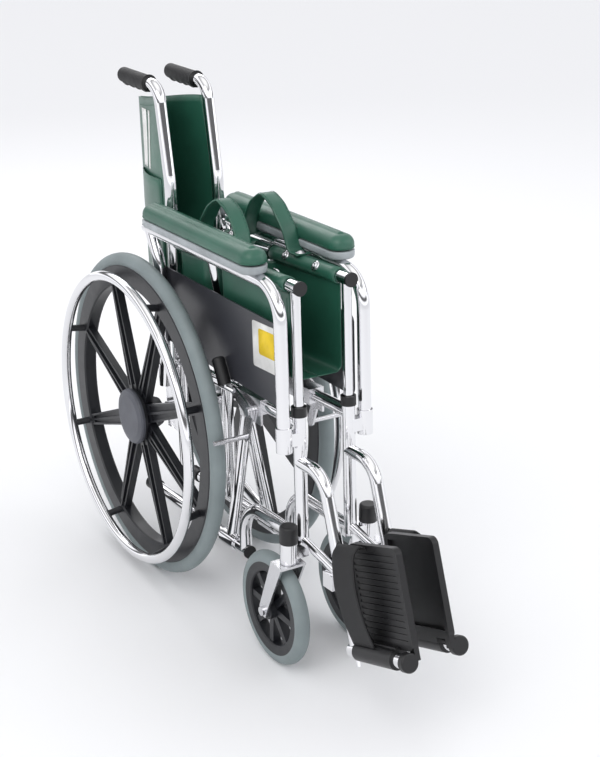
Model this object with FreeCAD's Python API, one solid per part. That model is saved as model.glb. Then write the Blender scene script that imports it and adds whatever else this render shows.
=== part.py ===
import FreeCAD, Part
import math
import os

# Folding manual wheelchair, modelled folded. Millimetres, +Z up, -Y is the front, -X is the
# chair's right-hand side. Origin: middle of the floor rectangle under the whole chair.
# The frame is drawn upright about the rear axle and then leaned back by LEAN.

V = FreeCAD.Vector
X_AXIS = V(1, 0, 0)
Z_AXIS = V(0, 0, 1)

# Fits
RUN = 0.08              # radial clearance of a shaft in its bearing or bush
LOOSE = 0.4             # radial clearance of a sleeve or sliding tube
GAP = 1.0               # clear air between pieces that pass each other

# Overall
LEAN = 3.95             # degrees that the frame leans back on its casters
HALF_FOLDED = 47.5      # centre plane to a side frame, folded
HALF_OPEN = 203.0       # the same, open (a 16 inch seat)
TUBE_R = 11.0
TUBE_WALL = 1.5

# Rear wheel
WHEEL_R = 305.0
TYRE_R = 14.0
WHEEL_X = 110.6
RIM_IN_R = 247.0
SPOKES = 8
SPOKE_PHASE = 22.5
HUB_R = 42.0
HUB_CAP_R = 52.5
HUB_CAP_X = 142.4
HANDRIM_X = 154.5
HANDRIM_R = 268.0
HANDRIM_TUBE_R = 9.3
AXLE_R = 6.0
BEARING_R = 14.0
BEARING_W = 10.0

# Caster
CASTER_R = 100.0
CASTER_TYRE_R = 13.0
CASTER_X = 78.5
STEM_Y = -472.0
TRAIL = 41.0
BARREL_R = 14.0
BARREL_Z = (208.0, 243.0)
DUST_CAP_TOP = 274.0
STEM_R = 7.0
FORK_LEG_X = 20.0
FORK_LEG_T = 4.0
CASTER_AXLE_R = 5.0
CASTER_SPOKES = 8

# Side frame, drawn upright
UPRIGHT_Y = -460.0
CANE_Y = -38.0
LOW_RAIL_Z = 110.0
FRONT_RAIL_Z = 205.0
ARM_RAIL_Z = 410.0
UPRIGHT_TOP = 437.0
RISER_Y = -263.0
CANE_KINK_Z = 740.0
GRIP_START = V(0, 25, 909)
GRIP_END = V(0, 135, 917)
GRIP_R = 15.0
HANGER_Z = 343.0
HANGER_SLOPE = 17.4     # degrees from upright
HANGER_CORNER_Y = -530.3
FOOT_Y = -615.0         # where the hanger's line meets the footplate's hinge line
FOOT_Z = 71.0
HANGER_END = 59.0       # up the hanger's line from the hinge line

# Seat rail and cross brace
RAIL_Z = 635.0
RAIL_Y = (-472.0, -60.0)
SLIDER_R = 8.3
SLIDER_BOTTOM = 400.0
BRACE_A_Y = -210.0
BRACE_B_Y = -186.3
BRACE_R = 11.0
SLEEVE_R = 14.5
SLEEVE_LENGTH = 48.0

# Arms
ARM_X = 78.0
ARM_FRONT_Y = -462.0
ARM_BOTTOM_Z = 371.0
SOCKET_Z = (367.0, 409.0)
SOCKET_WALL = 2.0
PAD_SLOPE = 2.7
PAD_X = 83.0
PAD_WIDTH = 46.0
PAD_LENGTH = 400.0
PAD_Y = -222.0
PAD_BASE_Z = 659.0
PAD_BASE_H = 13.0
PAD_H = 36.0
GUARD_X = (64.0, 66.7)

# Footrest
FOOT_TUBE_R = 12.0
FOOT_SLEEVE_R = 15.7
EXTENSION_R = 8.8
PLATE_X = (8.0, 19.0)   # inboard of the hinge line
PLATE_Z = (14.0, 174.0)
PLATE_Y = (-157.0, -22.0)

# Wheel lock
LOCK_Y = -335.0
LOCK_Z = 398.0
SHOE_ROD_R = 4.5
SHOE_Y = -309.0
SHOE_Z = 367.0

# Seat and back halves
SEAT_Y = (-443.0, -68.0)
SEAT_DROP = 160.0
SLING_T = 4.0
SLING_NOTCH = (-243.0, -157.0)
BACK_ANGLE = 12.5
BACK_Z = (492.0, 878.0)
LONG_BACK = 202.0
SHORT_BACK = 166.0

FOLD_ANGLE = math.degrees(math.asin(HALF_OPEN * 2 / math.hypot(2 * HALF_FOLDED, RAIL_Z - LOW_RAIL_Z))
                          - math.atan2(2 * HALF_FOLDED, RAIL_Z - LOW_RAIL_Z))
AXLE = V(0, 0, WHEEL_R)


def lean(shape):
    return shape.rotated(AXLE, X_AXIS, -LEAN)


def foot_place(shape):
    turned = shape.rotated(V(0, 0, 0), X_AXIS, -HANGER_SLOPE)
    return turned.translated(V(0, FOOT_Y, FOOT_Z))


def leaned_point(y, z):
    turn = math.radians(LEAN)
    rise = z - WHEEL_R
    return (y * math.cos(turn) + rise * math.sin(turn), WHEEL_R - y * math.sin(turn) + rise * math.cos(turn))


def cylinder(radius, start, end):
    along = end - start
    return Part.makeCylinder(radius, along.Length, start, along)


def ring(outer, inner, start, end):
    reach = (end - start).normalize()
    return cylinder(outer, start, end).cut(cylinder(inner, start - reach, end + reach))


def block(x, y, z):
    low = V(min(x), min(y), min(z))
    return Part.makeBox(max(x) - low.x, max(y) - low.y, max(z) - low.z, low)


def torus(x, y, z, radius, section):
    return Part.makeTorus(radius, section, V(x, y, z), X_AXIS)


def path(points, radii):
    """Straight runs joined by tangent arcs; radii holds one radius for each inner point."""
    edges = []
    last = points[0]
    for index, radius in enumerate(radii):
        corner = points[index + 1]
        back = (points[index] - corner).normalize()
        onward = (points[index + 2] - corner).normalize()
        half = back.getAngle(onward) / 2
        reach = radius / math.tan(half)
        start = corner + back * reach
        end = corner + onward * reach
        middle_way = (back + onward).normalize()
        middle = corner + middle_way * (radius / math.sin(half) - radius)
        edges.append(Part.LineSegment(last, start).toShape())
        edges.append(Part.Arc(start, middle, end).toShape())
        last = end
    edges.append(Part.LineSegment(last, points[-1]).toShape())
    return Part.Wire(edges)


def rod(points, radii, radius):
    spine = path(points, radii)
    way = (points[1] - points[0]).normalize()
    section = Part.Wire(Part.makeCircle(radius, points[0], way))
    return spine.makePipeShell([section], True, False)


def tube(points, radii=(), radius=TUBE_R, wall=TUBE_WALL):
    if not radii:
        way = (points[1] - points[0]).normalize()
        return cylinder(radius, points[0], points[1]).cut(cylinder(radius - wall, points[0] - way, points[1] + way))
    return rod(points, radii, radius).cut(rod(points, radii, radius - wall))


def biggest(shape):
    return max(shape.Solids, key=lambda solid: solid.Volume)


def trimmed(shape, *others):
    for other in others:
        shape = shape.cut(other)
    return biggest(shape)


def save(name, solids):
    flat = []
    for shape in solids:
        flat.extend(shape.Solids)
    Part.makeCompound(flat).exportStep("parts/" + name + ".step")


# Every piece below is drawn on the +X side; the other side is its mirror image.
SIDE = HALF_FOLDED


def at(y, z, x=SIDE):
    return V(x, y, z)


def hanger_point(up):
    turn = math.radians(HANGER_SLOPE)
    return at(FOOT_Y + up * math.sin(turn), FOOT_Z + up * math.cos(turn))


def make_cane():
    lean_top = V(SIDE, -12.3, 906.3)
    points = [at(CANE_Y, LOW_RAIL_Z), at(CANE_Y, CANE_KINK_Z), lean_top, at(GRIP_END.y - 6, GRIP_END.z - 0.4)]
    cane = tube(points, (150.0, 36.0))
    return trimmed(cane, cylinder(TUBE_R, at(CANE_Y - 60, LOW_RAIL_Z), at(CANE_Y + 60, LOW_RAIL_Z)))


def make_grip():
    start = GRIP_START + V(SIDE, 0, 0)
    end = GRIP_END + V(SIDE, 0, 0)
    way = (end - start).normalize()
    length = (end - start).Length
    grip = cylinder(GRIP_R, start, end).fuse(cylinder(GRIP_R + 2, start, start + way * 5))
    for index in range(9):
        place = start + way * (14 + index * (length - 28) / 8)
        grip = grip.fuse(cylinder(GRIP_R + 0.9, place - way * 2.5, place + way * 2.5))
    bore = cylinder(TUBE_R + RUN, start - way, end - way * 5)
    return trimmed(grip, bore)


def make_frame(cane):
    upright = tube([at(UPRIGHT_Y, FRONT_RAIL_Z - TUBE_R), at(UPRIGHT_Y, UPRIGHT_TOP)])
    upright_bar = cylinder(TUBE_R, at(UPRIGHT_Y, 150), at(UPRIGHT_Y, UPRIGHT_TOP))
    cane_bar = cylinder(TUBE_R, at(CANE_Y, LOW_RAIL_Z), at(CANE_Y, CANE_KINK_Z - 60))
    low_rail = tube([at(RISER_Y - 12, LOW_RAIL_Z), at(118, LOW_RAIL_Z)])
    low_bar = cylinder(TUBE_R, at(RISER_Y - 20, LOW_RAIL_Z), at(118, LOW_RAIL_Z))
    riser = tube([at(RISER_Y, LOW_RAIL_Z), at(RISER_Y, FRONT_RAIL_Z), at(UPRIGHT_Y, FRONT_RAIL_Z)], (62.0,))
    riser = trimmed(riser, low_bar, upright_bar)
    arm_rail = trimmed(tube([at(CANE_Y, ARM_RAIL_Z), at(UPRIGHT_Y, ARM_RAIL_Z)]), upright_bar, cane_bar)
    corner = at(HANGER_CORNER_Y, HANGER_Z)
    hanger = tube([at(UPRIGHT_Y, HANGER_Z), corner, hanger_point(HANGER_END)], (47.0,))
    hanger_bar = cylinder(TUBE_R, hanger_point(HANGER_END), hanger_point(230))
    hanger = trimmed(hanger, upright_bar)
    strut_bar = cylinder(8.0, at(UPRIGHT_Y, FRONT_RAIL_Z + 2), at(-582, 183))
    strut = tube([at(UPRIGHT_Y, FRONT_RAIL_Z + 2), at(-582, 183)], radius=8.0)
    strut = trimmed(strut, upright_bar, hanger_bar)

    front_socket = ring(TUBE_R + LOOSE + SOCKET_WALL, TUBE_R + LOOSE,
                        at(ARM_FRONT_Y, SOCKET_Z[0], ARM_X), at(ARM_FRONT_Y, SOCKET_Z[1], ARM_X))
    front_fill = cylinder(TUBE_R + LOOSE + SOCKET_WALL, at(ARM_FRONT_Y, SOCKET_Z[0], ARM_X),
                          at(ARM_FRONT_Y, SOCKET_Z[1], ARM_X))
    shift = V(0, CANE_Y - ARM_FRONT_Y, 0)
    rear_socket = front_socket.translated(shift)
    rear_fill = front_fill.translated(shift)
    front_bracket = block((SIDE, ARM_X), (ARM_FRONT_Y - 9, ARM_FRONT_Y + 9), (376, 398))
    rear_bracket = front_bracket.translated(shift)
    front_bracket = trimmed(front_bracket, upright_bar, front_fill)
    rear_bracket = trimmed(rear_bracket, cane_bar, rear_fill)

    axle_plate = block((SIDE - 3, SIDE + 3), (CANE_Y, 24), (262, 348))
    housing = ring(BEARING_R, AXLE_R, V(36, 0, WHEEL_R), V(62, 0, WHEEL_R))
    axle_plate = trimmed(axle_plate, cane_bar, cylinder(BEARING_R, V(36, 0, WHEEL_R), V(62, 0, WHEEL_R)))
    lug = block((SIDE + 4, SIDE + 15), (-572, -545), (160, 186))
    lug = trimmed(lug, hanger_bar, strut_bar)
    solids = [lean(piece) for piece in (upright, low_rail, riser, arm_rail, hanger, strut, front_socket,
                                        rear_socket, front_bracket, rear_bracket, axle_plate, housing, lug)]
    solids.extend(make_caster_mount(lean(upright_bar), lean(riser), lean(strut)))
    return solids


def make_caster_mount(*neighbours):
    barrel_bar = cylinder(BARREL_R, V(CASTER_X, STEM_Y, BARREL_Z[0]), V(CASTER_X, STEM_Y, BARREL_Z[1]))
    barrel = barrel_bar.cut(cylinder(STEM_R + RUN, V(CASTER_X, STEM_Y, 200), V(CASTER_X, STEM_Y, 250)))
    bracket = block((SIDE - 4, CASTER_X), (STEM_Y - 8, STEM_Y + 26), (212, 239))
    return barrel, trimmed(bracket, barrel_bar, *neighbours)


def make_end_caps(cane):
    collar = cylinder(TUBE_R + 2, at(UPRIGHT_Y, 422), at(UPRIGHT_Y, UPRIGHT_TOP + 1.5))
    collar = collar.cut(cylinder(TUBE_R, at(UPRIGHT_Y, 410), at(UPRIGHT_Y, UPRIGHT_TOP)))
    collar = collar.cut(cylinder(SLIDER_R + GAP, at(UPRIGHT_Y, 410), at(UPRIGHT_Y, 450)))
    dust_cap = cylinder(BARREL_R + 1.5, V(CASTER_X, STEM_Y, BARREL_Z[1]), V(CASTER_X, STEM_Y, DUST_CAP_TOP))
    dust_cap = dust_cap.makeFillet(5, [dust_cap.Edges[0]])
    dust_cap = dust_cap.cut(cylinder(STEM_R + GAP, V(CASTER_X, STEM_Y, 240), V(CASTER_X, STEM_Y, 268)))
    plug = cylinder(TUBE_R + 1, at(RISER_Y - 15, LOW_RAIL_Z), at(RISER_Y - 12, LOW_RAIL_Z))
    plug = plug.fuse(cylinder(TUBE_R - TUBE_WALL, at(RISER_Y - 13, LOW_RAIL_Z), at(RISER_Y, LOW_RAIL_Z)))
    tip = ring(TUBE_R + 2.5, TUBE_R, at(92, LOW_RAIL_Z), at(118, LOW_RAIL_Z))
    tip = tip.fuse(cylinder(TUBE_R + 2.5, at(118, LOW_RAIL_Z), at(124, LOW_RAIL_Z)))
    riser = cylinder(TUBE_R, at(RISER_Y, LOW_RAIL_Z), at(RISER_Y, 140))
    return [lean(collar), dust_cap, lean(trimmed(plug, riser)), lean(trimmed(tip, cane))]


def make_rear_axle():
    bolt = cylinder(AXLE_R, V(30, 0, WHEEL_R), V(136, 0, WHEEL_R))
    head = cylinder(10.5, V(29, 0, WHEEL_R), V(35.9, 0, WHEEL_R))
    nut = cylinder(10.0, V(128.5, 0, WHEEL_R), V(135, 0, WHEEL_R))
    bolt = bolt.fuse(head).fuse(nut)
    inner = ring(BEARING_R, AXLE_R, V(82, 0, WHEEL_R), V(82 + BEARING_W, 0, WHEEL_R))
    outer = ring(BEARING_R, AXLE_R, V(118, 0, WHEEL_R), V(118 + BEARING_W, 0, WHEEL_R))
    spacer = ring(AXLE_R + 3, AXLE_R, V(62, 0, WHEEL_R), V(82, 0, WHEEL_R))
    return [biggest(bolt), inner, outer, spacer]


def wheel_profile(points):
    """A ring about the X axis from (x, radius) points."""
    corners = [V(x, 0, radius) for x, radius in points]
    face = Part.Face(Part.makePolygon(corners + corners[:1]))
    return face.revolve(V(0, 0, 0), X_AXIS, 360)


def spoke(hub_r, rim_r, hub_w, rim_w, x_hub, x_rim, thick):
    faces = []
    for radius, width, x in ((hub_r, hub_w, x_hub), (rim_r, rim_w, x_rim)):
        corners = [V(x - thick / 2, -width / 2, radius), V(x + thick / 2, -width / 2, radius),
                   V(x + thick / 2, width / 2, radius), V(x - thick / 2, width / 2, radius)]
        faces.append(Part.makePolygon(corners + corners[:1]))
    return Part.makeLoft(faces, True, True)


def make_wheel():
    x = WHEEL_X
    seat = WHEEL_R - TYRE_R * 1.7
    rim = wheel_profile([(x - 13, RIM_IN_R + 2), (x - 10, RIM_IN_R), (x + 10, RIM_IN_R), (x + 13, RIM_IN_R + 2),
                         (x + 13, seat), (x + 10, seat + 4), (x + 6, seat), (x - 6, seat), (x - 10, seat + 4),
                         (x - 13, seat)])
    hub = wheel_profile([(80, 20), (132, 20), (132, HUB_R + 8), (126, HUB_R + 8), (112, HUB_R), (98, HUB_R - 8),
                         (80, 26)])
    hub_core = wheel_profile([(80, BEARING_R + RUN), (128.2, BEARING_R + RUN), (128.2, 22), (80, 22)])
    wheel = rim.fuse([hub, hub_core])
    blade = spoke(HUB_R - 8, RIM_IN_R + 6, 36, 21, 116, x + 3, 14)
    groove = spoke(HUB_R + 16, RIM_IN_R - 12, 27, 13, 123, x + 10, 8)
    rib = spoke(HUB_R - 4, RIM_IN_R + 4, 5, 4, 119, x + 7, 12)
    blade = blade.cut(groove).fuse(rib)
    post = cylinder(6.5, V(x + 6, 0, RIM_IN_R + 12), V(HANDRIM_X - 4, 0, HANDRIM_R - 2))
    for index in range(SPOKES):
        turn = 90 - SPOKE_PHASE - index * 360 / SPOKES
        wheel = wheel.fuse([blade.rotated(V(0, 0, 0), X_AXIS, turn), post.rotated(V(0, 0, 0), X_AXIS, turn)])
    wheel = wheel.cut(torus(0, 0, 0, HANDRIM_R, HANDRIM_TUBE_R).translated(V(HANDRIM_X, 0, 0)))
    tyre = torus(x, 0, 0, WHEEL_R - TYRE_R, TYRE_R)
    tyre = trimmed(tyre, wheel)
    wheel = trimmed(wheel)
    handrim = torus(HANDRIM_X, 0, 0, HANDRIM_R, HANDRIM_TUBE_R)
    cap = wheel_profile([(132, 0), (HUB_CAP_X, 0), (HUB_CAP_X, 40), (HUB_CAP_X - 2.5, HUB_CAP_R - 2),
                         (HUB_CAP_X - 6, HUB_CAP_R), (132, HUB_CAP_R)])
    cap = cap.cut(cylinder(12, V(130, 0, 0), V(137.5, 0, 0)))
    pieces = {"tyre": [tyre], "mag_wheel": [wheel], "handrim": [handrim], "hub_cap": [cap]}
    return {name: [piece.translated(AXLE) for piece in pieces[name]] for name in pieces}


def make_caster():
    axle_y = STEM_Y + TRAIL
    stem = cylinder(STEM_R, V(CASTER_X, STEM_Y, 203), V(CASTER_X, STEM_Y, 262))
    crown = block((CASTER_X - FORK_LEG_X - FORK_LEG_T, CASTER_X + FORK_LEG_X + FORK_LEG_T),
                  (STEM_Y - 17, STEM_Y + 17), (CASTER_R * 2 + 2, CASTER_R * 2 + 2 + FORK_LEG_T))
    collar = cylinder(BARREL_R - 1, V(CASTER_X, STEM_Y, 205), V(CASTER_X, STEM_Y, BARREL_Z[0] - 0.5))
    fork = crown.fuse([stem, collar])
    outline = [V(0, STEM_Y - 16, CASTER_R * 2 + 4), V(0, axle_y - 12, CASTER_R + 4), V(0, axle_y - 7, CASTER_R - 11),
               V(0, axle_y + 7, CASTER_R - 11), V(0, axle_y + 13, CASTER_R + 4), V(0, STEM_Y + 17, CASTER_R * 2 + 4)]
    leg = Part.Face(Part.makePolygon(outline + outline[:1])).extrude(V(FORK_LEG_T, 0, 0))
    fork = fork.fuse([leg.translated(V(CASTER_X + FORK_LEG_X, 0, 0)),
                      leg.translated(V(CASTER_X - FORK_LEG_X - FORK_LEG_T, 0, 0))])
    hub = V(CASTER_X, axle_y, CASTER_R)
    reach = FORK_LEG_X + FORK_LEG_T
    bolt = cylinder(CASTER_AXLE_R, hub - V(reach + 5, 0, 0), hub + V(reach + 5, 0, 0))
    fork = trimmed(fork, bolt)
    bolt = bolt.fuse([cylinder(8, hub - V(reach + 5, 0, 0), hub - V(reach, 0, 0)),
                      cylinder(8, hub + V(reach, 0, 0), hub + V(reach + 5, 0, 0))])
    bearing = ring(9.5, CASTER_AXLE_R, V(9, 0, 0), V(FORK_LEG_X - 1, 0, 0))
    bearings = [bearing.translated(hub), bearing.mirror(V(0, 0, 0), X_AXIS).translated(hub)]
    return {"caster_fork": [fork], "caster_axle": [biggest(bolt)] + bearings}


def make_caster_wheel():
    hub = V(CASTER_X, STEM_Y + TRAIL, CASTER_R)
    rim_in = CASTER_R - 35
    bore = 9.5 + RUN
    rim = wheel_profile([(-11, rim_in + 2), (-9, rim_in), (9, rim_in), (11, rim_in + 2), (12, 83), (8, 86),
                         (4, 82), (-4, 82), (-8, 86), (-12, 83)])
    core = wheel_profile([(-18, bore), (18, bore), (18, 17), (-18, 17)])
    wheel = rim.fuse(core)
    blade = spoke(15, rim_in + 4, 13, 11, 0, 0, 15)
    for index in range(CASTER_SPOKES):
        wheel = wheel.fuse(blade.rotated(V(0, 0, 0), X_AXIS, index * 360 / CASTER_SPOKES))
    wheel = trimmed(wheel)
    tyre = trimmed(torus(0, 0, 0, CASTER_R - CASTER_TYRE_R, CASTER_TYRE_R), wheel)
    return {"caster_wheel": [wheel.translated(hub)], "caster_tyre": [tyre.translated(hub)]}


def make_seat_rail():
    bar = cylinder(TUBE_R, at(RAIL_Y[0], RAIL_Z), at(RAIL_Y[1], RAIL_Z))
    rail = tube([at(RAIL_Y[0], RAIL_Z), at(RAIL_Y[1], RAIL_Z)])
    slider = tube([at(UPRIGHT_Y, SLIDER_BOTTOM), at(UPRIGHT_Y, RAIL_Z)], radius=SLIDER_R)
    plugs = []
    for end, outward in ((RAIL_Y[0], -1), (RAIL_Y[1], 1)):
        plug = cylinder(TUBE_R + 1, at(end, RAIL_Z), at(end + outward * 4, RAIL_Z))
        plug = plug.fuse(cylinder(TUBE_R - TUBE_WALL, at(end - outward * 3.4, RAIL_Z), at(end + outward, RAIL_Z)))
        plugs.append(biggest(plug))
    return {"seat_rail": [rail, trimmed(slider, bar)], "rail_plugs": plugs}


def make_brace(y, with_bolt):
    """A brace from the bottom rail at -X to the seat rail at +X."""
    foot = V(-SIDE, y, LOW_RAIL_Z)
    top = V(SIDE, y, RAIL_Z)
    half = V(0, SLEEVE_LENGTH / 2, 0)
    bars = [cylinder(SLEEVE_R, end - half, end + half) for end in (foot, top)]
    sleeves = [bar.cut(cylinder(TUBE_R + LOOSE, end - half * 2, end + half * 2))
               for bar, end in zip(bars, (foot, top))]
    centre = (foot + top) / 2
    bolt_start = V(0, BRACE_A_Y - BRACE_R - 6, centre.z)
    bolt_end = V(0, BRACE_B_Y + BRACE_R + 6, centre.z)
    bolt = cylinder(5, bolt_start, bolt_end)
    hole = bolt if with_bolt else cylinder(5 + RUN, bolt_start, bolt_end)
    pieces = sleeves + [trimmed(tube([foot, top], radius=BRACE_R), *bars, hole)]
    if with_bolt:
        head = cylinder(9, bolt_start, bolt_start + V(0, 5.5, 0))
        nut = cylinder(9, bolt_end - V(0, 5.5, 0), bolt_end)
        pieces.append(biggest(bolt.fuse([head, nut])))
    return pieces


def make_arm():
    top = [at(ARM_FRONT_Y, ARM_BOTTOM_Z, ARM_X), at(ARM_FRONT_Y, 637, ARM_X), at(6, 657, ARM_X)]
    hoop = tube(top, (58.0,))
    hoop_bar = rod(top, (58.0,), TUBE_R)
    rear = tube([at(CANE_Y, ARM_BOTTOM_Z, ARM_X), at(CANE_Y, 600, ARM_X), at(-8, 655, ARM_X)], (60.0,))
    guard_face = [V(GUARD_X[0], y, z) for y, z in ((12, 592), (-452, 569), (-452, 430), (12, 452))]
    guard = Part.Face(Part.makePolygon(guard_face + guard_face[:1])).extrude(V(GUARD_X[1] - GUARD_X[0], 0, 0))
    corners = [edge for edge in guard.Edges if abs(edge.Vertexes[0].X - edge.Vertexes[-1].X) > 1]
    guard = guard.makeFillet(14, corners)
    return {"arm_tube": [hoop, trimmed(rear, hoop_bar)], "skirt_guard": [guard]}


def make_pad():
    half = PAD_LENGTH / 2
    wide = PAD_WIDTH / 2
    base = block((-wide, wide), (-half, half), (0, PAD_BASE_H))
    upright_edges = [edge for edge in base.Edges if abs(edge.Vertexes[0].Z - edge.Vertexes[-1].Z) > 1]
    base = base.makeFillet(wide - 1, upright_edges)
    pad = block((-wide + 1, wide - 1), (-half + 1, half - 1), (PAD_BASE_H, PAD_BASE_H + PAD_H))
    upright_edges = [edge for edge in pad.Edges if abs(edge.Vertexes[0].Z - edge.Vertexes[-1].Z) > 1]
    pad = pad.makeFillet(wide - 2, upright_edges)
    top_edges = [edge for edge in pad.Edges if edge.BoundBox.ZMin > PAD_BASE_H + PAD_H - 0.1]
    pad = pad.makeFillet(12, top_edges)
    placed = []
    for piece in (base, pad):
        turned = piece.rotated(V(0, 0, 0), X_AXIS, PAD_SLOPE)
        placed.append(turned.translated(V(PAD_X, PAD_Y, PAD_BASE_Z)))
    return placed


def make_footrest():
    """Drawn in the hinge's own frame: the hinge tube along Y, the hanger's line along Z."""
    front = -143.0
    hinge = ring(FOOT_TUBE_R, FOOT_TUBE_R - 2, V(SIDE, front, 0), V(SIDE, 9, 0))
    hinge_bar = cylinder(FOOT_TUBE_R, V(SIDE, front, 0), V(SIDE, 9, 0))
    extension = ring(EXTENSION_R, EXTENSION_R - 2, V(SIDE, 0, 0), V(SIDE, 0, 190))
    extension = trimmed(extension, hinge_bar)
    stop_bolt = cylinder(4, V(SIDE, 0, -27), V(SIDE, 0, -8)).cut(hinge_bar)
    sleeve = ring(FOOT_SLEEVE_R, FOOT_TUBE_R + RUN, V(SIDE, front + 22, 0), V(SIDE, -13, 0))
    sleeve_bore = cylinder(FOOT_TUBE_R + RUN, V(SIDE, front - 1, 0), V(SIDE, 9, 0))
    plate = block((SIDE - PLATE_X[0], SIDE - PLATE_X[1]), PLATE_Y, PLATE_Z)
    along_x = [edge for edge in plate.Edges if abs(edge.Vertexes[0].X - edge.Vertexes[-1].X) > 1]
    plate = plate.makeFillet(12, along_x)
    for index in range(14):
        z = PLATE_Z[0] + 16 + index * 10
        plate = plate.cut(block((SIDE - PLATE_X[0] - 1.2, SIDE), (PLATE_Y[0] + 9, PLATE_Y[1] - 9), (z, z + 4)))
    recess = block((SIDE - PLATE_X[1] - 1, SIDE - PLATE_X[1] + 6), (PLATE_Y[0] + 9, PLATE_Y[1] - 9),
                   (PLATE_Z[0] + 14, PLATE_Z[1] - 10))
    plate = plate.cut(recess)
    web = block((SIDE, SIDE - PLATE_X[1]), (front + 22, -13), (PLATE_Z[0] - 9, PLATE_Z[0] + 5)).cut(sleeve_bore)
    plug_start = V(SIDE, front - 1, 0)
    plug = cylinder(FOOT_SLEEVE_R, plug_start - V(0, 12, 0), plug_start)
    plug = plug.makeFillet(3, [plug.Edges[2]])
    spigot = cylinder(FOOT_TUBE_R - 2 - LOOSE, plug_start, plug_start + V(0, 14, 0))
    arm = block((SIDE - 10, SIDE - PLATE_X[1]), (front - 13, front - 1), (0, PLATE_Z[0] + 12))
    footplate = sleeve.fuse([plate, web, plug, spigot, arm])
    return {"foot_extension": [hinge, extension, biggest(stop_bolt)], "footplate": [biggest(footplate)]}


def make_heel_loop():
    """A wide bent strap behind the footplate, drawn in the hinge's own frame."""
    outer = [(-6.5, 170), (14, 166), (15, 60), (6, 16.3)]
    strips = []
    for (x_low, z_low), (x_high, z_high) in zip(outer[:-1], outer[1:]):
        corners = [V(SIDE + x_low, 0, z_low), V(SIDE + x_high, 0, z_high)]
        way = (corners[1] - corners[0]).normalize()
        side = V(-way.z, 0, way.x) * 1.5
        quad = [corners[0] + side, corners[1] + side, corners[1] - side, corners[0] - side]
        face = Part.Face(Part.makePolygon(quad + quad[:1]))
        strips.append(face.extrude(V(0, 48, 0)).translated(V(0, -62, 0)))
    joints = [cylinder(1.5, V(SIDE + x, -62, z), V(SIDE + x, -14, z)) for x, z in outer]
    return [biggest(strips[0].fuse(strips[1:] + joints))]


def make_lock():
    pivot = V(0, LOCK_Y, LOCK_Z)
    rail_bar = cylinder(TUBE_R, at(UPRIGHT_Y, ARM_RAIL_Z), at(CANE_Y, ARM_RAIL_Z))
    clamp = block((SIDE - 14, SIDE + 14), (-361, -275), (ARM_RAIL_Z - 13, ARM_RAIL_Z + 13))
    plate = block((SIDE + 11, SIDE + 15), (-361, -290), (378, ARM_RAIL_Z + 13))
    pin = cylinder(4, pivot + V(SIDE + 10, 0, 0), pivot + V(76, 0, 0))
    head = cylinder(7.5, pivot + V(72.5, 0, 0), pivot + V(76, 0, 0))
    clamp = trimmed(clamp.fuse([plate, pin, head]), rail_bar)
    hole = cylinder(4 + RUN, pivot + V(60, 0, 0), pivot + V(76, 0, 0))

    outline = [V(68, LOCK_Y - 9, LOCK_Z - 9), V(68, LOCK_Y + 8, LOCK_Z - 9), V(68, -279, 416), V(68, -284, 430),
               V(68, LOCK_Y - 9, LOCK_Z + 9)]
    lever = Part.Face(Part.makePolygon(outline + outline[:1])).extrude(V(4, 0, 0))
    grip_foot = V(80, -274, 427)
    grip_top = V(80, -250, 474)
    neck = cylinder(4.0, V(72, -287, 421), grip_foot)
    stem = cylinder(4.5, grip_foot, grip_top - V(0, 4, 8))
    knee = Part.makeSphere(4.5, grip_foot)
    lever = trimmed(lever.fuse([neck, stem, knee]), hole)
    grip = cylinder(11.5, grip_foot + V(0, 1.5, 3), grip_top)
    grip = grip.makeFillet(6, [edge for edge in grip.Edges if edge.BoundBox.ZMin > 450])
    grip = trimmed(grip, lever)

    shoe_pivot = V(0, *leaned_point(LOCK_Y, LOCK_Z))
    arm = path_plate(shoe_pivot, V(0, SHOE_Y, SHOE_Z), 9)
    bar = cylinder(SHOE_ROD_R, V(63, SHOE_Y, SHOE_Z), V(127, SHOE_Y, SHOE_Z))
    shoe = arm.fuse(bar)
    shoe = trimmed(shoe, lean(hole))
    return {"lock_clamp": [lean(clamp)], "lock_lever": [lean(lever)], "lock_grip": [lean(grip)],
            "lock_shoe": [shoe]}


def path_plate(start, end, half_width):
    """A flat link with round ends between two points, just outboard of the lock's mounting plate."""
    way = (end - start).normalize()
    side = V(0, -way.z, way.y) * half_width
    x = V(63, 0, 0)
    quad = [start + side + x, end + side + x, end - side + x, start - side + x]
    bar = Part.Face(Part.makePolygon(quad + quad[:1])).extrude(V(4, 0, 0))
    ends = [cylinder(half_width, point + x, point + x + V(4, 0, 0)) for point in (start, end)]
    return bar.fuse(ends)


def make_seat(lip_z):
    half_t = SLING_T / 2
    turn_z = RAIL_Z - SEAT_DROP
    panels = []
    lips = []
    for y_low, y_high in ((SEAT_Y[0], SLING_NOTCH[0]), (SLING_NOTCH[1], SEAT_Y[1])):
        panels.append(block((SIDE - half_t, SIDE + half_t), (y_low, y_high),
                            (turn_z + 5, RAIL_Z - TUBE_R - 1.5)))
        bead = cylinder(4, at(y_low, turn_z), at(y_high, turn_z))
        lips.append(biggest(block((0.5, SIDE), (y_low, y_high), (lip_z, lip_z + 3)).fuse(bead)))
    return {"seat_half": panels, "seat_lip": lips}


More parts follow.
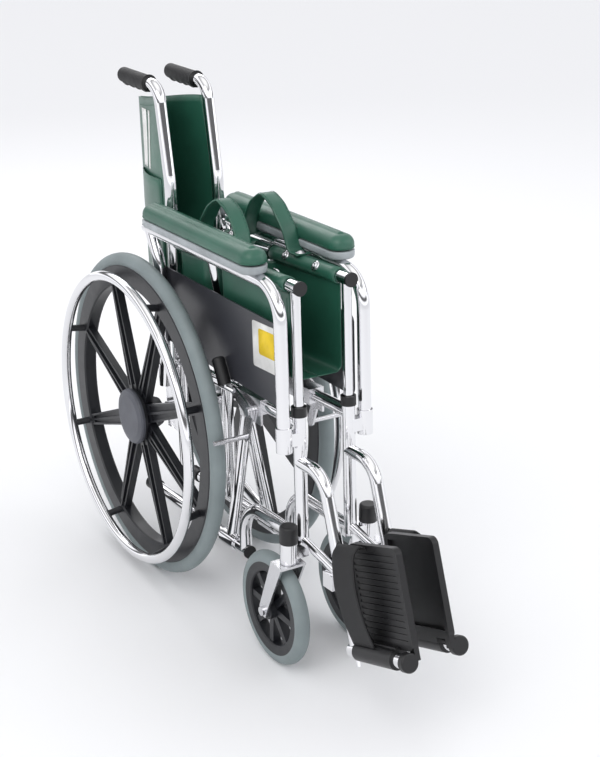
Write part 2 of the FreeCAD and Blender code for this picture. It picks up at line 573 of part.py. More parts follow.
def make_back(length):
    y = CANE_Y
    corners = [V(SIDE - SLING_T / 2, y + 13.5, BACK_Z[0]), V(SIDE - SLING_T / 2, y + length, BACK_Z[0]),
               V(SIDE - SLING_T / 2, y + length, BACK_Z[1] - 10), V(SIDE - SLING_T / 2, y + 38, BACK_Z[1]),
               V(SIDE - SLING_T / 2, y + 13.5, CANE_KINK_Z - 10)]
    panel = Part.Face(Part.makePolygon(corners + corners[:1])).extrude(V(SLING_T, 0, 0))
    return {"back_half": [panel.rotated(V(SIDE, y, 0), Z_AXIS, BACK_ANGLE)]}


def leaned(pieces):
    return {name: [lean(shape) for shape in pieces[name]] for name in pieces}


def make_side(lip_z, back_length):
    cane = make_cane()
    pad_base, arm_pad = make_pad()
    nodes = {"side_frame": make_frame(cane), "end_caps": make_end_caps(cane), "rear_axle": make_rear_axle()}
    nodes.update(leaned({"cane": [cane], "push_grip": [make_grip()], "pad_base": [pad_base],
                         "arm_pad": [arm_pad]}))
    nodes.update(make_wheel())
    nodes.update(make_caster())
    nodes.update(make_caster_wheel())
    nodes.update(leaned(make_seat_rail()))
    nodes.update(leaned(make_arm()))
    foot = make_footrest()
    foot["heel_loop"] = make_heel_loop()
    nodes.update(leaned({name: [foot_place(shape) for shape in foot[name]] for name in foot}))
    nodes.update(make_lock())
    nodes.update(leaned(make_seat(lip_z)))
    nodes.update(leaned(make_back(back_length)))
    return nodes


def mirrored(shapes):
    return [shape.mirror(V(0, 0, 0), X_AXIS) for shape in shapes]


seat_bottom = RAIL_Z - SEAT_DROP
chair = {"brace_right_foot": leaned({"a": make_brace(BRACE_A_Y, True)})["a"],
         "brace_left_foot": mirrored(leaned({"b": make_brace(BRACE_B_Y, False)})["b"])}
for name, shapes in make_side(seat_bottom - 3, LONG_BACK).items():
    chair["left_" + name] = shapes
for name, shapes in make_side(seat_bottom + 1, SHORT_BACK).items():
    chair["right_" + name] = mirrored(shapes)

# Move the origin to the middle of the floor rectangle under the chair.
boxes = [shape.optimalBoundingBox(False, False) for shapes in chair.values() for shape in shapes]
front = min(box.YMin for box in boxes)
rear = max(box.YMax for box in boxes)
to_origin = V(0, -(front + rear) / 2, -min(box.ZMin for box in boxes))
os.makedirs("parts", exist_ok=True)
for name, shapes in chair.items():
    save(name, [shape.translated(to_origin) for shape in shapes])
print("fold angle", round(FOLD_ANGLE, 3), "axle at y", round(to_origin.y, 3), "z", round(WHEEL_R + to_origin.z, 3))
print("nodes", len(chair), "length", round(rear - front, 1))
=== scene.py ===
import math

import bpy
from mathutils import Matrix, Vector


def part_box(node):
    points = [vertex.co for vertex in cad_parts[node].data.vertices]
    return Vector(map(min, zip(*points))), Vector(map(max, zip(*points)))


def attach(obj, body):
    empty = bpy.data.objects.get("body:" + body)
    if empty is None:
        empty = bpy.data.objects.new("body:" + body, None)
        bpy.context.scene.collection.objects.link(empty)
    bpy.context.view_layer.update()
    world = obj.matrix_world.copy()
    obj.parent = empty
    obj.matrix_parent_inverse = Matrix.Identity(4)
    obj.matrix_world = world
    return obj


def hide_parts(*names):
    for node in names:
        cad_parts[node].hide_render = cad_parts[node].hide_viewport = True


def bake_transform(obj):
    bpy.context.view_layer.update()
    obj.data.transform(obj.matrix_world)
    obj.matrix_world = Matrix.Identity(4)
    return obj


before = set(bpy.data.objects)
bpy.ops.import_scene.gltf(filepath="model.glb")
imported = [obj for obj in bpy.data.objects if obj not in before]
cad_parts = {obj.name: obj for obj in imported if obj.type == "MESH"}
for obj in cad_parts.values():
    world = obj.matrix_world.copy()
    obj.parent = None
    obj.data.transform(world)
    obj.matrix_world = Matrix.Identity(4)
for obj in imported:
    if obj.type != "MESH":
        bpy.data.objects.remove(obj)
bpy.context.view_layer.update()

scene = bpy.context.scene
MM = 0.001

# Places come from the frame: the rear axle is the middle of a hub cap.
cap_low, cap_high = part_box("left_hub_cap")
AXLE = (cap_low + cap_high) / 2
LEAN = math.radians(3.95)

# Driving sizes of the side frame, in millimetres
WHEEL_R = 305.0
SIDE = 47.5             # centre plane to a side frame
CANE_Y = -38.0
CANE_KINK_Z = 740.0
CANE_SLOPE = 0.1545     # how far the cane moves back for each millimetre above its kink
LOW_RAIL_Z = 110.0
RAIL_Z = 635.0
FOOT_Y = -615.0
FOOT_Z = 71.0
PANEL_TURN = math.radians(12.4)
HANGER_SLOPE = math.radians(17.4)
SIDES = (("right", -1), ("left", 1))


def place(x, y, z):
    """Metres in the row frame, from millimetres in the upright side frame."""
    rise = z - WHEEL_R
    ahead = y * math.cos(LEAN) + rise * math.sin(LEAN)
    up = WHEEL_R - y * math.sin(LEAN) + rise * math.cos(LEAN)
    return Vector((x * MM, AXLE.y + ahead * MM, up * MM))


def foot_place(x, y, z):
    """Metres in the row frame, from millimetres along and above the footplate's hinge line."""
    ahead = y * math.cos(HANGER_SLOPE) + z * math.sin(HANGER_SLOPE)
    up = z * math.cos(HANGER_SLOPE) - y * math.sin(HANGER_SLOPE)
    return place(x, FOOT_Y + ahead, FOOT_Z + up)


def smooth(t):
    t = min(max(t, 0.0), 1.0)
    return t * t * (3 - 2 * t)


# Materials -----------------------------------------------------------------------------

class Finish:
    """A node material built up from one Principled shader."""

    def __init__(self, name, colour, rough, metal=0.0):
        self.material = bpy.data.materials.new(name)
        self.material.use_nodes = True
        self.nodes = self.material.node_tree.nodes
        self.links = self.material.node_tree.links
        self.shader = self.nodes["Principled BSDF"]
        self.colour = colour
        self.rough = rough
        self.shader.inputs["Metallic"].default_value = metal
        self.shader.inputs["Base Color"].default_value = (*colour, 1)
        self.shader.inputs["Roughness"].default_value = rough
        self.place = self.nodes.new("ShaderNodeTexCoord").outputs["Object"]
        self.height = None

    def noise(self, scale, detail=4.0, stretch=None):
        node = self.nodes.new("ShaderNodeTexNoise")
        node.inputs["Scale"].default_value = scale
        node.inputs["Detail"].default_value = detail
        place_from = self.place
        if stretch:
            mapping = self.nodes.new("ShaderNodeMapping")
            mapping.inputs["Scale"].default_value = stretch
            self.links.new(self.place, mapping.inputs["Vector"])
            place_from = mapping.outputs["Vector"]
        self.links.new(place_from, node.inputs["Vector"])
        return node.outputs["Fac"]

    def cells(self, scale):
        node = self.nodes.new("ShaderNodeTexVoronoi")
        node.inputs["Scale"].default_value = scale
        self.links.new(self.place, node.inputs["Vector"])
        return node.outputs["Distance"]

    def waves(self, scale, direction):
        node = self.nodes.new("ShaderNodeTexWave")
        node.bands_direction = direction
        node.inputs["Scale"].default_value = scale
        node.inputs["Distortion"].default_value = 0.4
        self.links.new(self.place, node.inputs["Vector"])
        return node.outputs["Fac"]

    def vary_colour(self, source, spread):
        ramp = self.nodes.new("ShaderNodeValToRGB")
        ramp.color_ramp.elements[0].position = 0.3
        ramp.color_ramp.elements[1].position = 0.7
        ramp.color_ramp.elements[0].color = (*[c * (1 - spread) for c in self.colour], 1)
        ramp.color_ramp.elements[1].color = (*[min(1, c * (1 + spread)) for c in self.colour], 1)
        self.links.new(source, ramp.inputs["Fac"])
        self.links.new(ramp.outputs["Color"], self.shader.inputs["Base Color"])
        return self

    def vary_rough(self, source, spread):
        span = self.nodes.new("ShaderNodeMapRange")
        span.inputs["To Min"].default_value = max(0.0, self.rough - spread)
        span.inputs["To Max"].default_value = self.rough + spread
        self.links.new(source, span.inputs["Value"])
        self.links.new(span.outputs["Result"], self.shader.inputs["Roughness"])
        return self

    def bump(self, source, strength, distance):
        node = self.nodes.new("ShaderNodeBump")
        node.inputs["Strength"].default_value = strength
        node.inputs["Distance"].default_value = distance
        self.links.new(source, node.inputs["Height"])
        if self.height:
            self.links.new(self.height, node.inputs["Normal"])
        self.height = node.outputs["Normal"]
        self.links.new(self.height, self.shader.inputs["Normal"])
        return self


def chrome():
    finish = Finish("chrome", (0.80, 0.80, 0.815), 0.07, metal=1.0)
    finish.vary_rough(finish.noise(35), 0.035)
    return finish.bump(finish.noise(14, detail=1.0), 0.04, 0.002).material


def bright_steel():
    finish = Finish("bright_steel", (0.68, 0.68, 0.70), 0.24, metal=1.0)
    finish.vary_rough(finish.noise(160, stretch=(1, 1, 6)), 0.08)
    return finish.bump(finish.noise(600), 0.1, 0.0002).material


def moulded(name, colour, rough, grain=900, depth=0.00025):
    finish = Finish(name, colour, rough)
    finish.vary_colour(finish.noise(24), 0.18).vary_rough(finish.noise(60), 0.07)
    return finish.bump(finish.noise(grain, detail=2.0), 0.35, depth).material


def tyre_rubber():
    finish = Finish("grey_rubber", (0.205, 0.245, 0.25), 0.52)
    finish.vary_colour(finish.noise(18), 0.10).vary_rough(finish.noise(90), 0.08)
    return finish.bump(finish.noise(1100), 0.25, 0.0003).material


def vinyl():
    finish = Finish("green_vinyl", (0.020, 0.102, 0.066), 0.40)
    finish.vary_colour(finish.noise(11), 0.16).vary_rough(finish.noise(40), 0.08)
    finish.bump(finish.cells(620), 0.30, 0.0004).bump(finish.noise(26, detail=2.0), 0.25, 0.0025)
    finish.shader.inputs["Coat Weight"].default_value = 0.18
    finish.shader.inputs["Coat Roughness"].default_value = 0.3
    return finish.material


def guard_panel():
    finish = Finish("guard_panel", (0.030, 0.031, 0.038), 0.30)
    finish.vary_colour(finish.noise(7), 0.15).vary_rough(finish.noise(22), 0.06)
    return finish.bump(finish.noise(9, detail=1.0), 0.12, 0.003).material


def webbing():
    finish = Finish("ribbed_webbing", (0.007, 0.007, 0.008), 0.62)
    finish.vary_colour(finish.noise(300), 0.25)
    return finish.bump(finish.waves(130, "Y"), 0.6, 0.0006).bump(finish.noise(900), 0.3, 0.0003).material


def thread():
    finish = Finish("stitch_thread", (0.02, 0.13, 0.08), 0.6)
    return finish.vary_colour(finish.noise(700), 0.3).bump(finish.noise(1500), 0.4, 0.0002).material


CHROME = chrome()
STEEL = bright_steel()
BLACK = moulded("black_plastic", (0.007, 0.007, 0.008), 0.40)
GRIP = moulded("black_grip", (0.006, 0.006, 0.007), 0.50, grain=500, depth=0.0005)
WHEEL = moulded("wheel_plastic", (0.010, 0.011, 0.014), 0.38)
HUB = moulded("hub_grey", (0.075, 0.080, 0.098), 0.46)
PAD_GREY = moulded("pad_grey", (0.34, 0.37, 0.385), 0.50)
RUBBER = tyre_rubber()
VINYL = vinyl()
GUARD = guard_panel()
WEBBING = webbing()
THREAD = thread()
WHITE = moulded("white_print", (0.80, 0.80, 0.78), 0.45)
YELLOW = moulded("yellow_print", (0.85, 0.60, 0.015), 0.45)

NODE_FINISH = {
    "side_frame": CHROME, "cane": CHROME, "seat_rail": CHROME, "arm_tube": CHROME, "foot_extension": CHROME,
    "handrim": CHROME, "caster_fork": STEEL, "caster_axle": STEEL, "rear_axle": STEEL, "lock_clamp": STEEL,
    "lock_lever": STEEL, "lock_shoe": STEEL, "push_grip": GRIP, "lock_grip": GRIP, "end_caps": BLACK,
    "rail_plugs": BLACK, "footplate": BLACK, "heel_loop": WEBBING, "mag_wheel": WHEEL, "caster_wheel": WHEEL,
    "hub_cap": HUB, "tyre": RUBBER, "caster_tyre": RUBBER, "pad_base": PAD_GREY, "arm_pad": VINYL,
    "skirt_guard": GUARD, "back_half": VINYL, "seat_half": VINYL, "seat_lip": VINYL}


def paint(piece, material):
    piece.data.materials.clear()
    piece.data.materials.append(material)


for node_name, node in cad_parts.items():
    kind = node_name.replace("right_", "").replace("left_", "")
    paint(node, NODE_FINISH.get(kind, CHROME))
    for polygon in node.data.polygons:
        polygon.use_smooth = True
    node.data.set_sharp_from_angle(angle=math.radians(32))


# Mesh helpers --------------------------------------------------------------------------

def make_piece(name, verts, faces, material):
    mesh = bpy.data.meshes.new(name)
    mesh.from_pydata(verts, [], faces)
    mesh.validate()
    for polygon in mesh.polygons:
        polygon.use_smooth = True
    piece = bpy.data.objects.new(name, mesh)
    scene.collection.objects.link(piece)
    paint(piece, material)
    return piece


def grid_piece(name, rows, material, closed=False):
    """A surface through rows of points; closed joins the last row's ends into tubes."""
    across = len(rows[0])
    verts = [point for row in rows for point in row]
    faces = []
    for i in range(len(rows) - 1):
        for j in range(across if closed else across - 1):
            k = (j + 1) % across
            low, high = i * across, (i + 1) * across
            faces.append((low + j, low + k, high + k, high + j))
    if closed:
        faces.append(tuple(reversed(range(across))))
        faces.append(tuple((len(rows) - 1) * across + j for j in range(across)))
    return make_piece(name, verts, faces, material)


def apply(piece):
    graph = bpy.context.evaluated_depsgraph_get()
    mesh = bpy.data.meshes.new_from_object(piece.evaluated_get(graph))
    piece.modifiers.clear()
    piece.data = mesh
    return piece


def thicken(piece, thickness, subdivide=0):
    if subdivide:
        smoother = piece.modifiers.new("smooth", "SUBSURF")
        smoother.levels = subdivide
        smoother.render_levels = subdivide
    solid = piece.modifiers.new("solid", "SOLIDIFY")
    solid.thickness = thickness * MM
    solid.offset = 0
    return apply(piece)


def disc(name, centre, normal, profile, material, sides=28):
    """A turned piece: profile holds (radius, height) from the bottom up, in millimetres."""
    turn = normal.to_track_quat("Z", "Y").to_matrix()
    rows = []
    for radius, height in profile:
        row = []
        for k in range(sides):
            angle = 2 * math.pi * k / sides
            spot = Vector((radius * math.cos(angle), radius * math.sin(angle), height))
            row.append(centre + turn @ spot * MM)
        rows.append(row)
    return grid_piece(name, rows, material, closed=True)


def along(points, steps):
    """Evenly spaced places along a polyline with its corners rounded off by averaging."""
    fine = []
    for a, b in zip(points[:-1], points[1:]):
        fine.extend(a.lerp(b, k / 12) for k in range(12))
    fine.append(points[-1])
    for _ in range(10):
        inner = [(fine[k - 1] + fine[k] * 2 + fine[k + 1]) / 4 for k in range(1, len(fine) - 1)]
        fine = [fine[0]] + inner + [fine[-1]]
    return [fine[round(k * (len(fine) - 1) / steps)] for k in range(steps + 1)]


# Back upholstery -----------------------------------------------------------------------

BACK_LOW = 490.0
BACK_LENGTH = 213.0
CANE_GAP = 10.5         # from the cane's centre line to the cloth's edge behind it
STRIPE_Z = (746, 852)


def cane_y(z):
    return CANE_Y + max(0.0, z - CANE_KINK_Z) * CANE_SLOPE


def back_top(t):
    return 884.0 - 14.0 * smooth(t)


def back_point(g, t, z, out=0.0):
    """t is 0 at the cane and 1 at the fold; out lifts a second layer off the outer face."""
    start = cane_y(z) - CANE_Y + CANE_GAP
    ahead = start + (BACK_LENGTH - start) * t
    swell = 5.0 * math.sin(math.pi * t) * math.sin(math.pi * (z - BACK_LOW) / 400.0)
    swell += 1.6 * math.sin(5.0 * t + z / 41.0) * math.sin(math.pi * t)
    x = SIDE - ahead * math.sin(PANEL_TURN) + swell + out
    return place(g * max(x, 1.3), CANE_Y + ahead * math.cos(PANEL_TURN), z)


def make_back(side, g):
    rows = []
    levels = 30
    for i in range(levels + 1):
        share = i / levels
        row = []
        for k in range(27):
            t = k / 26
            z = BACK_LOW + (back_top(t) - BACK_LOW) * share
            row.append(back_point(g, t, z))
        rows.append(row)
    sheet = thicken(grid_piece(side + "_back_sheet", rows, VINYL), 1.6)
    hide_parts(side + "_back_half")
    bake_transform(sheet)
    make_pocket(side, g)
    make_stitches(side, g)
    outward = Vector((g, 0.2, 0)).normalized()
    for index, z in enumerate((520, 610, 700, 780, 862)):
        screw = disc(f"{side}_back_screw_{index + 1}", back_point(g, 0.05, z, out=1.2), outward,
                     ((0.5, 0), (6.2, 0), (6.2, 0.9), (4.4, 2.0), (2.0, 2.5), (0.5, 2.5)),
                     STEEL)
        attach(screw, side + "_back")


def make_pocket(side, g):
    rows = []
    for i in range(15):
        share = i / 14
        z = 500 + 238 * share
        row = []
        for k in range(15):
            t = 0.20 + 0.74 * k / 14
            puff = 3.4 + 5.0 * math.sin(math.pi * k / 14) * share
            row.append(back_point(g, t, z, out=puff if 0 < k < 14 and i > 0 else 1.4))
        rows.append(row)
    pocket = thicken(grid_piece(side + "_back_pocket", rows, VINYL), 1.5)
    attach(pocket, side + "_back")


def stitch_line(name, points, body):
    """Short raised stitches along a line of points."""
    verts = []
    faces = []
    for a, b in zip(points[:-1], points[1:]):
        way = (b - a).normalized()
        side = way.orthogonal().normalized()
        third = way.cross(side)
        middle = (a + b) / 2
        half = way * min((b - a).length * 0.32, 2.2 * MM)
        first = len(verts)
        for end in (-1, 1):
            for u, v in ((1, 0), (0, 1), (-1, 0), (0, -1)):
                verts.append(middle + half * end + (side * u + third * v) * 0.45 * MM)
        for k in range(4):
            j = (k + 1) % 4
            faces.append((first + k, first + j, first + 4 + j, first + 4 + k))
        faces.append((first + 3, first + 2, first + 1, first))
        faces.append((first + 4, first + 5, first + 6, first + 7))
    piece = make_piece(name, verts, faces, THREAD)
    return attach(piece, body)


def make_stitches(side, g):
    shares = [0.34 + 0.6 * k / 24 for k in range(25)]
    top = [back_point(g, t, back_top(t) - 14, out=1.2) for t in shares]
    stitch_line(side + "_back_hem_stitches", top, side + "_back")
    bottom = [back_point(g, t, BACK_LOW + 12, out=1.2) for t in shares]
    stitch_line(side + "_back_foot_stitches", bottom, side + "_back")
    if side == "right":
        make_stripe("stripe_wide", 0.68, 0.86)
        make_stripe("stripe_narrow", 0.55, 0.61)


def make_stripe(name, t_low, t_high):
    """A plain printed band on the outer face of the right back half."""
    rows = []
    for i in range(13):
        z = STRIPE_Z[0] + (STRIPE_Z[1] - STRIPE_Z[0]) * i / 12
        rows.append([back_point(-1, t_low + (t_high - t_low) * k / 6, z, out=1.3) for k in range(7)])
    stripe = thicken(grid_piece("right_back_" + name, rows, WHITE), 0.5)
    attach(stripe, "right_back")


# Seat sling ----------------------------------------------------------------------------

SEAT_FRONT = -443.0
SEAT_REAR = -68.0
SEAT_LOW = 475.0
BRACE_Y = {"left": -210.0, "right": -186.3}
SLEEVE_R = 12.4
STRAP_HALF = 14.5


def pinch(side, y):
    """1 where the sling is drawn inside the crossing braces, 0 away from them."""
    return 1 - smooth((abs(y - BRACE_Y[side]) - 17) / 16)


def sling_point(side, g, y, s):
    """s runs from 0 at the rail to 1 at the middle of the seat."""
    drop = RAIL_Z - 12.5 - SEAT_LOW
    bend = 12.0
    wall = s * (drop + SIDE)
    if wall < drop - bend:
        x, z = SIDE, RAIL_Z - 12.5 - wall
    elif wall < drop + bend:
        turn = (wall - drop + bend) / (2 * bend) * math.pi / 2
        x, z = SIDE - bend * (1 - math.cos(turn)), SEAT_LOW + bend * (1 - math.sin(turn))
    else:
        x, z = SIDE - (wall - drop), SEAT_LOW
    brace_x = -SIDE + 2 * SIDE * (z - LOW_RAIL_Z) / (RAIL_Z - LOW_RAIL_Z)
    inside = max(0.6, min(x, brace_x - 15.0, SIDE - 17.0))
    share = pinch(side, y)
    ripple = 1.2 * math.sin(y / 23.0) * math.sin(math.pi * s)
    x = x * (1 - share) + inside * share + (ripple if x > 8 and share < 0.2 else 0)
    sag = 3.0 * math.sin(math.pi * (y - SEAT_FRONT) / (SEAT_REAR - SEAT_FRONT)) * s
    return place(g * max(x, 0.6), y, z - sag)


def make_seat(side, g):
    stations = 76
    rows = [[sling_point(side, g, SEAT_FRONT + (SEAT_REAR - SEAT_FRONT) * i / stations, k / 34)
             for k in range(35)] for i in range(stations + 1)]
    sling = thicken(grid_piece(side + "_seat_sling", rows, VINYL), 1.0)
    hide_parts(side + "_seat_half", side + "_seat_lip")
    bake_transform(sling)
    make_sleeve(side, g, "front", SEAT_FRONT, BRACE_Y[side] - 27)
    make_sleeve(side, g, "rear", BRACE_Y[side] + 27, SEAT_REAR)
    lift = Vector((g * 1.1 * MM, 0, 0))
    seam = [sling_point(side, g, SEAT_FRONT + 9, 0.05 + 0.65 * k / 34) + lift for k in range(35)]
    stitch_line(side + "_seat_front_stitches", seam, side + "_seat")
    make_screws(side, g)
    make_lift_strap(side, g)


def make_sleeve(side, g, name, front, rear):
    """The sling's hem wrapped round its rail, in front of or behind the brace."""
    rows = []
    for i in range(13):
        y = front + (rear - front) * i / 12
        row = []
        for k in range(25):
            angle = math.radians(-75 + k * 330 / 24)
            x = SIDE + SLEEVE_R * math.cos(angle)
            row.append(place(g * x, y, RAIL_Z + SLEEVE_R * math.sin(angle)))
        rows.append(row)
    sleeve = thicken(grid_piece(f"{side}_seat_{name}_sleeve", rows, VINYL), 1.6)
    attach(sleeve, side + "_seat_rail")


def make_screws(side, g):
    outward = Vector((-g * math.cos(math.radians(35)), 0, math.sin(math.radians(35))))
    for index, y in enumerate((-95, -290, -385)):
        centre = place(g * SIDE, y, RAIL_Z) + outward * 13.0 * MM
        washer = disc(f"{side}_seat_washer_{index + 1}", centre, outward,
                      ((0.5, 0), (8.6, 0), (9.0, 0.5), (8.6, 1.3), (0.5, 1.5)), STEEL)
        screw = disc(f"{side}_seat_screw_{index + 1}", centre, outward,
                     ((0.5, 1.2), (5.6, 1.2), (5.6, 2.2), (4.4, 3.7), (2.2, 4.4), (1.8, 3.6), (0.4, 3.5)),
                     STEEL)
        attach(washer, side + "_seat_rail")
        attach(screw, side + "_seat_rail")


def make_lift_strap(side, g):
    top = RAIL_Z + 14.6
    outline = [Vector((0, y, z)) for y, z in ((-120, top), (-150, top + 1), (-163, top + 40), (-190, 722),
                                              (-225, 741), (-262, 724), (-290, top + 40), (-303, top + 1),
                                              (-333, top))]
    centre = along(outline, 48)
    rows = []
    for point in centre:
        arch = smooth((point.z - top) / 70.0)
        row = []
        for k in range(7):
            across = (k - 3) / 3
            x = SIDE - 5 * arch + across * STRAP_HALF
            row.append(place(g * x, point.y, point.z - 1.2 * across * across * arch))
        rows.append(row)
    strap = thicken(grid_piece(side + "_lift_strap", rows, VINYL), 2.6)
    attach(strap, side + "_seat_rail")
    for index, across in enumerate((-0.8, 0.8)):
        line = []
        for point in centre:
            x = SIDE - 5 * smooth((point.z - top) / 70.0) + across * STRAP_HALF
            line.append(place(g * x, point.y, point.z) + Vector((0, 0, 1.6 * MM)))
        stitch_line(f"{side}_strap_stitches_{index + 1}", line, side + "_seat_rail")
    for index, y in enumerate((-131, -322)):
        screw = disc(f"{side}_strap_screw_{index + 1}", place(g * SIDE, y, top + 1.4), Vector((0, 0, 1)),
                     ((0.5, 0), (9.5, 0), (9.5, 1.0), (6.0, 1.4), (5.6, 2.6), (3.6, 3.9), (0.5, 4.2)),
                     STEEL)
        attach(screw, side + "_seat_rail")


# Arm pads, grips, loops, labels ----------------------------------------------------------

def rounded_outline(half_w, half_l, radius):
    points = []
    radius = max(min(radius, half_w, half_l), 0.01)
    for corner, (sx, sy) in enumerate(((1, 1), (-1, 1), (-1, -1), (1, -1))):
        for k in range(13):
            angle = math.radians(90 * corner + 90 * k / 12)
            points.append((sx * (half_w - radius) + radius * math.cos(angle),
                           sy * (half_l - radius) + radius * math.sin(angle)))
    return points


def make_arm_pad(side, g):
    low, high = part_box(side + "_pad_base")
    slope = math.radians(2.7) - LEAN
    middle = (low + high) / 2
    turn = Matrix.Rotation(slope, 3, "X")
    half_w, half_l, curl = 24.0, 194.0, 17.0
    shoulder = 9.0
    profile = [(2.2, 0.0), (0.6, 2.5), (0.0, 6.0), (0.0, shoulder)]
    profile += [(curl * (1 - math.cos(math.pi / 2 * k / 9)), shoulder + curl * math.sin(math.pi / 2 * k / 9))
                for k in range(1, 10)]
    profile += [(curl + (half_w - curl - 0.3) * k / 5, shoulder + curl + 3.4 * math.sin(math.pi / 2 * k / 5))
                for k in range(1, 6)]

    def pad_row(inset, z):
        outline = rounded_outline(half_w - inset, half_l - inset, 22.0 - inset)
        return [middle + turn @ Vector((x * MM, (y + 6) * MM, (z + 6.6) * MM)) for x, y in outline]

    tray = ((4.0, -14.0), (1.0, -12.5), (-0.4, -10.0), (-0.8, -1.6), (-0.3, -0.5), (3.0, -0.2))
    rows = [pad_row(inset, z) for inset, z in tray]
    base = grid_piece(side + "_pad_tray", rows, PAD_GREY, closed=True)
    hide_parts(side + "_pad_base")
    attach(base, side + "_arm")
    rows = [pad_row(inset, z) for inset, z in profile]
    pad = grid_piece(side + "_pad_cover", rows, VINYL, closed=True)
    smoother = pad.modifiers.new("smooth", "SUBSURF")
    smoother.levels = 1
    smoother.render_levels = 1
    apply(pad)
    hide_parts(side + "_arm_pad")
    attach(pad, side + "_arm")
    seam = pad_row(-0.1, 5.0)
    stitch_line(side + "_pad_stitches", seam + seam[:1], side + "_arm")


def make_grip(side, g):
    start = Vector((SIDE, 25, 909))
    end = Vector((SIDE, 135, 917))
    rows = []
    sides = 40
    length = 110
    for i in range(length + 1):
        s = i / length
        centre = start.lerp(end, s)
        radius = 13.1 + 0.7 * (0.5 + 0.5 * math.cos(i * 2 * math.pi / 5.5))
        radius += 1.6 * smooth(1 - i / 5)
        radius *= math.sqrt(max(0.0, 1 - max(0.0, (i - length + 6) / 6.4) ** 2))
        bump = 0.5 - 0.5 * math.cos(i * 2 * math.pi / 25.0)
        row = []
        for k in range(sides):
            angle = 2 * math.pi * k / sides
            finger = 3.6 * max(0.0, -math.sin(angle)) ** 3 * bump
            r = radius + (finger if 6 < i < length - 8 else 0)
            x = centre.x + r * math.cos(angle)
            row.append(place(g * x, centre.y, centre.z + r * math.sin(angle)))
        rows.append(row)
    grip = grid_piece(side + "_ribbed_grip", rows, GRIP, closed=True)
    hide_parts(side + "_push_grip")
    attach(grip, side + "_frame")


def make_heel_loop(side, g):
    corners = ((-10, 166), (4, 176), (19, 162), (25, 112), (20, 58), (9, 15))
    outline = [Vector((x, 0, z)) for x, z in corners]
    rows = []
    for point in along(outline, 40):
        rows.append([foot_place(g * (SIDE + point.x), -76 + 62 * k / 12, point.z) for k in range(13)])
    loop = thicken(grid_piece(side + "_heel_strap", rows, WEBBING), 2.6)
    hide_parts(side + "_heel_loop")
    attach(loop, side + "_footplate")


GUARD_FACE = 66.75      # centre plane to the skirt guard's outer face


def make_label(side, g):
    def patch(name, y_low, y_high, z_low, z_high, lift, material):
        middle = ((y_low + y_high) / 2, (z_low + z_high) / 2)
        outline = rounded_outline((y_high - y_low) / 2, (z_high - z_low) / 2, 5)
        rows = [[place(g * (GUARD_FACE + lift + up), middle[0] + y, middle[1] + z) for y, z in outline]
                for up in (0.0, 0.3)]
        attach(grid_piece(f"{side}_{name}", rows, material, closed=True), side + "_arm")

    patch("guard_label", -440, -352, 484, 562, 0.05, WHITE)
    patch("guard_label_mark", -424, -372, 508, 552, 0.4, YELLOW)


for side, g in SIDES:
    make_back(side, g)
    make_seat(side, g)
    make_arm_pad(side, g)
    make_grip(side, g)
    make_heel_loop(side, g)
    make_label(side, g)


# Room, light and camera -------------------------------------------------------------------

def area_light(name, where, target, size, power, tint):
    lamp = bpy.data.lights.new(name, "AREA")
    lamp.shape = "RECTANGLE"
    lamp.size, lamp.size_y = size
    lamp.energy = power
    lamp.color = tint
    holder = bpy.data.objects.new(name, lamp)
    holder.location = where
    holder.rotation_euler = (Vector(target) - Vector(where)).to_track_quat("-Z", "Y").to_euler()
    scene.collection.objects.link(holder)


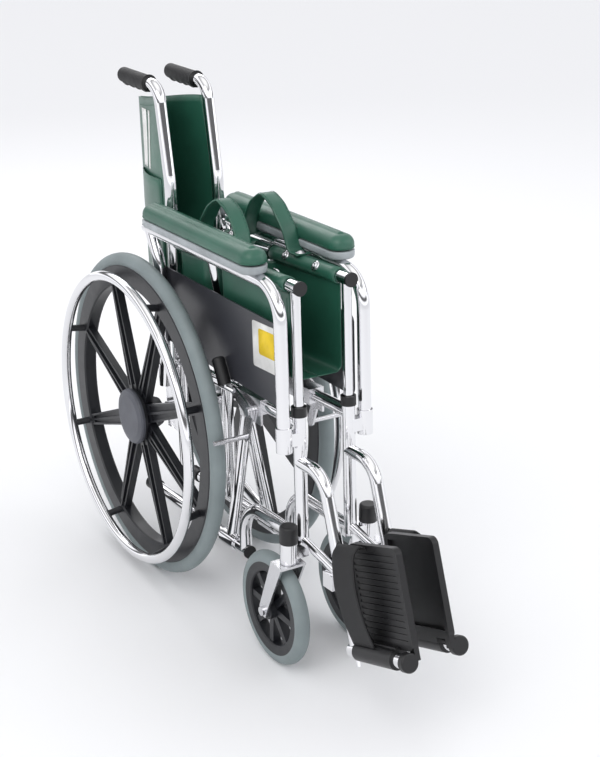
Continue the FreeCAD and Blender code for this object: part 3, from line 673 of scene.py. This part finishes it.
def make_room():
    floor_mesh = bpy.data.meshes.new("floor")
    floor_mesh.from_pydata([(-30, -30, 0), (30, -30, 0), (30, 30, 0), (-30, 30, 0)], [], [(0, 1, 2, 3)])
    floor = bpy.data.objects.new("floor", floor_mesh)
    scene.collection.objects.link(floor)
    paper = Finish("floor", (0.875, 0.88, 0.892), 0.95)
    paper.shader.inputs["Specular IOR Level"].default_value = 0.0
    paint(floor, paper.material)
    world = bpy.data.worlds.new("studio")
    scene.world = world
    world.use_nodes = True
    nodes, links = world.node_tree.nodes, world.node_tree.links
    ramp = nodes.new("ShaderNodeValToRGB")
    split = nodes.new("ShaderNodeSeparateXYZ")
    coords = nodes.new("ShaderNodeTexCoord")
    links.new(coords.outputs["Generated"], split.inputs["Vector"])
    links.new(split.outputs["Z"], ramp.inputs["Fac"])
    ramp.color_ramp.elements[0].color = (0.95, 0.96, 1.0, 1)
    ramp.color_ramp.elements[1].color = (1, 1, 1, 1)
    for height, grey in ((0.10, 0.95), (0.17, 0.10), (0.27, 0.12), (0.36, 0.92), (0.62, 1.0), (0.74, 0.30)):
        band = ramp.color_ramp.elements.new(height)
        band.color = (grey, grey, grey * 1.03, 1)
    links.new(ramp.outputs["Color"], nodes["Background"].inputs["Color"])
    nodes["Background"].inputs["Strength"].default_value = 1.4
    area_light("key", (-2.2, -1.6, 3.2), (0, 0, 0.4), (2.2, 2.2), 34, (1, 0.99, 0.97))
    area_light("fill", (2.8, -2.0, 2.2), (0, 0, 0.4), (1.6, 2.4), 14, (0.96, 0.98, 1))
    area_light("back", (0.8, 3.0, 2.6), (0, 0, 0.5), (2.4, 1.6), 18, (1, 1, 1))


def make_camera():
    yaw, pitch, roll = 0.555, 0.378, 0.010
    ahead = Vector((math.sin(yaw) * math.cos(pitch), math.cos(yaw) * math.cos(pitch), -math.sin(pitch)))
    right = Vector((math.cos(yaw), -math.sin(yaw), 0))
    up = right.cross(ahead)
    level_right = right * math.cos(roll) + up * math.sin(roll)
    level_up = up * math.cos(roll) - right * math.sin(roll)
    turn = Matrix((level_right, level_up, -ahead)).transposed()
    lens = bpy.data.cameras.new("camera")
    lens.lens = 65.87
    camera = bpy.data.objects.new("camera", lens)
    camera.matrix_world = Matrix.Translation((-1.12355, AXLE.y - 2.18826, 1.32959)) @ turn.to_4x4()
    scene.collection.objects.link(camera)
    scene.camera = camera
    scene.view_settings.view_transform = "Standard"


make_room()
make_camera()
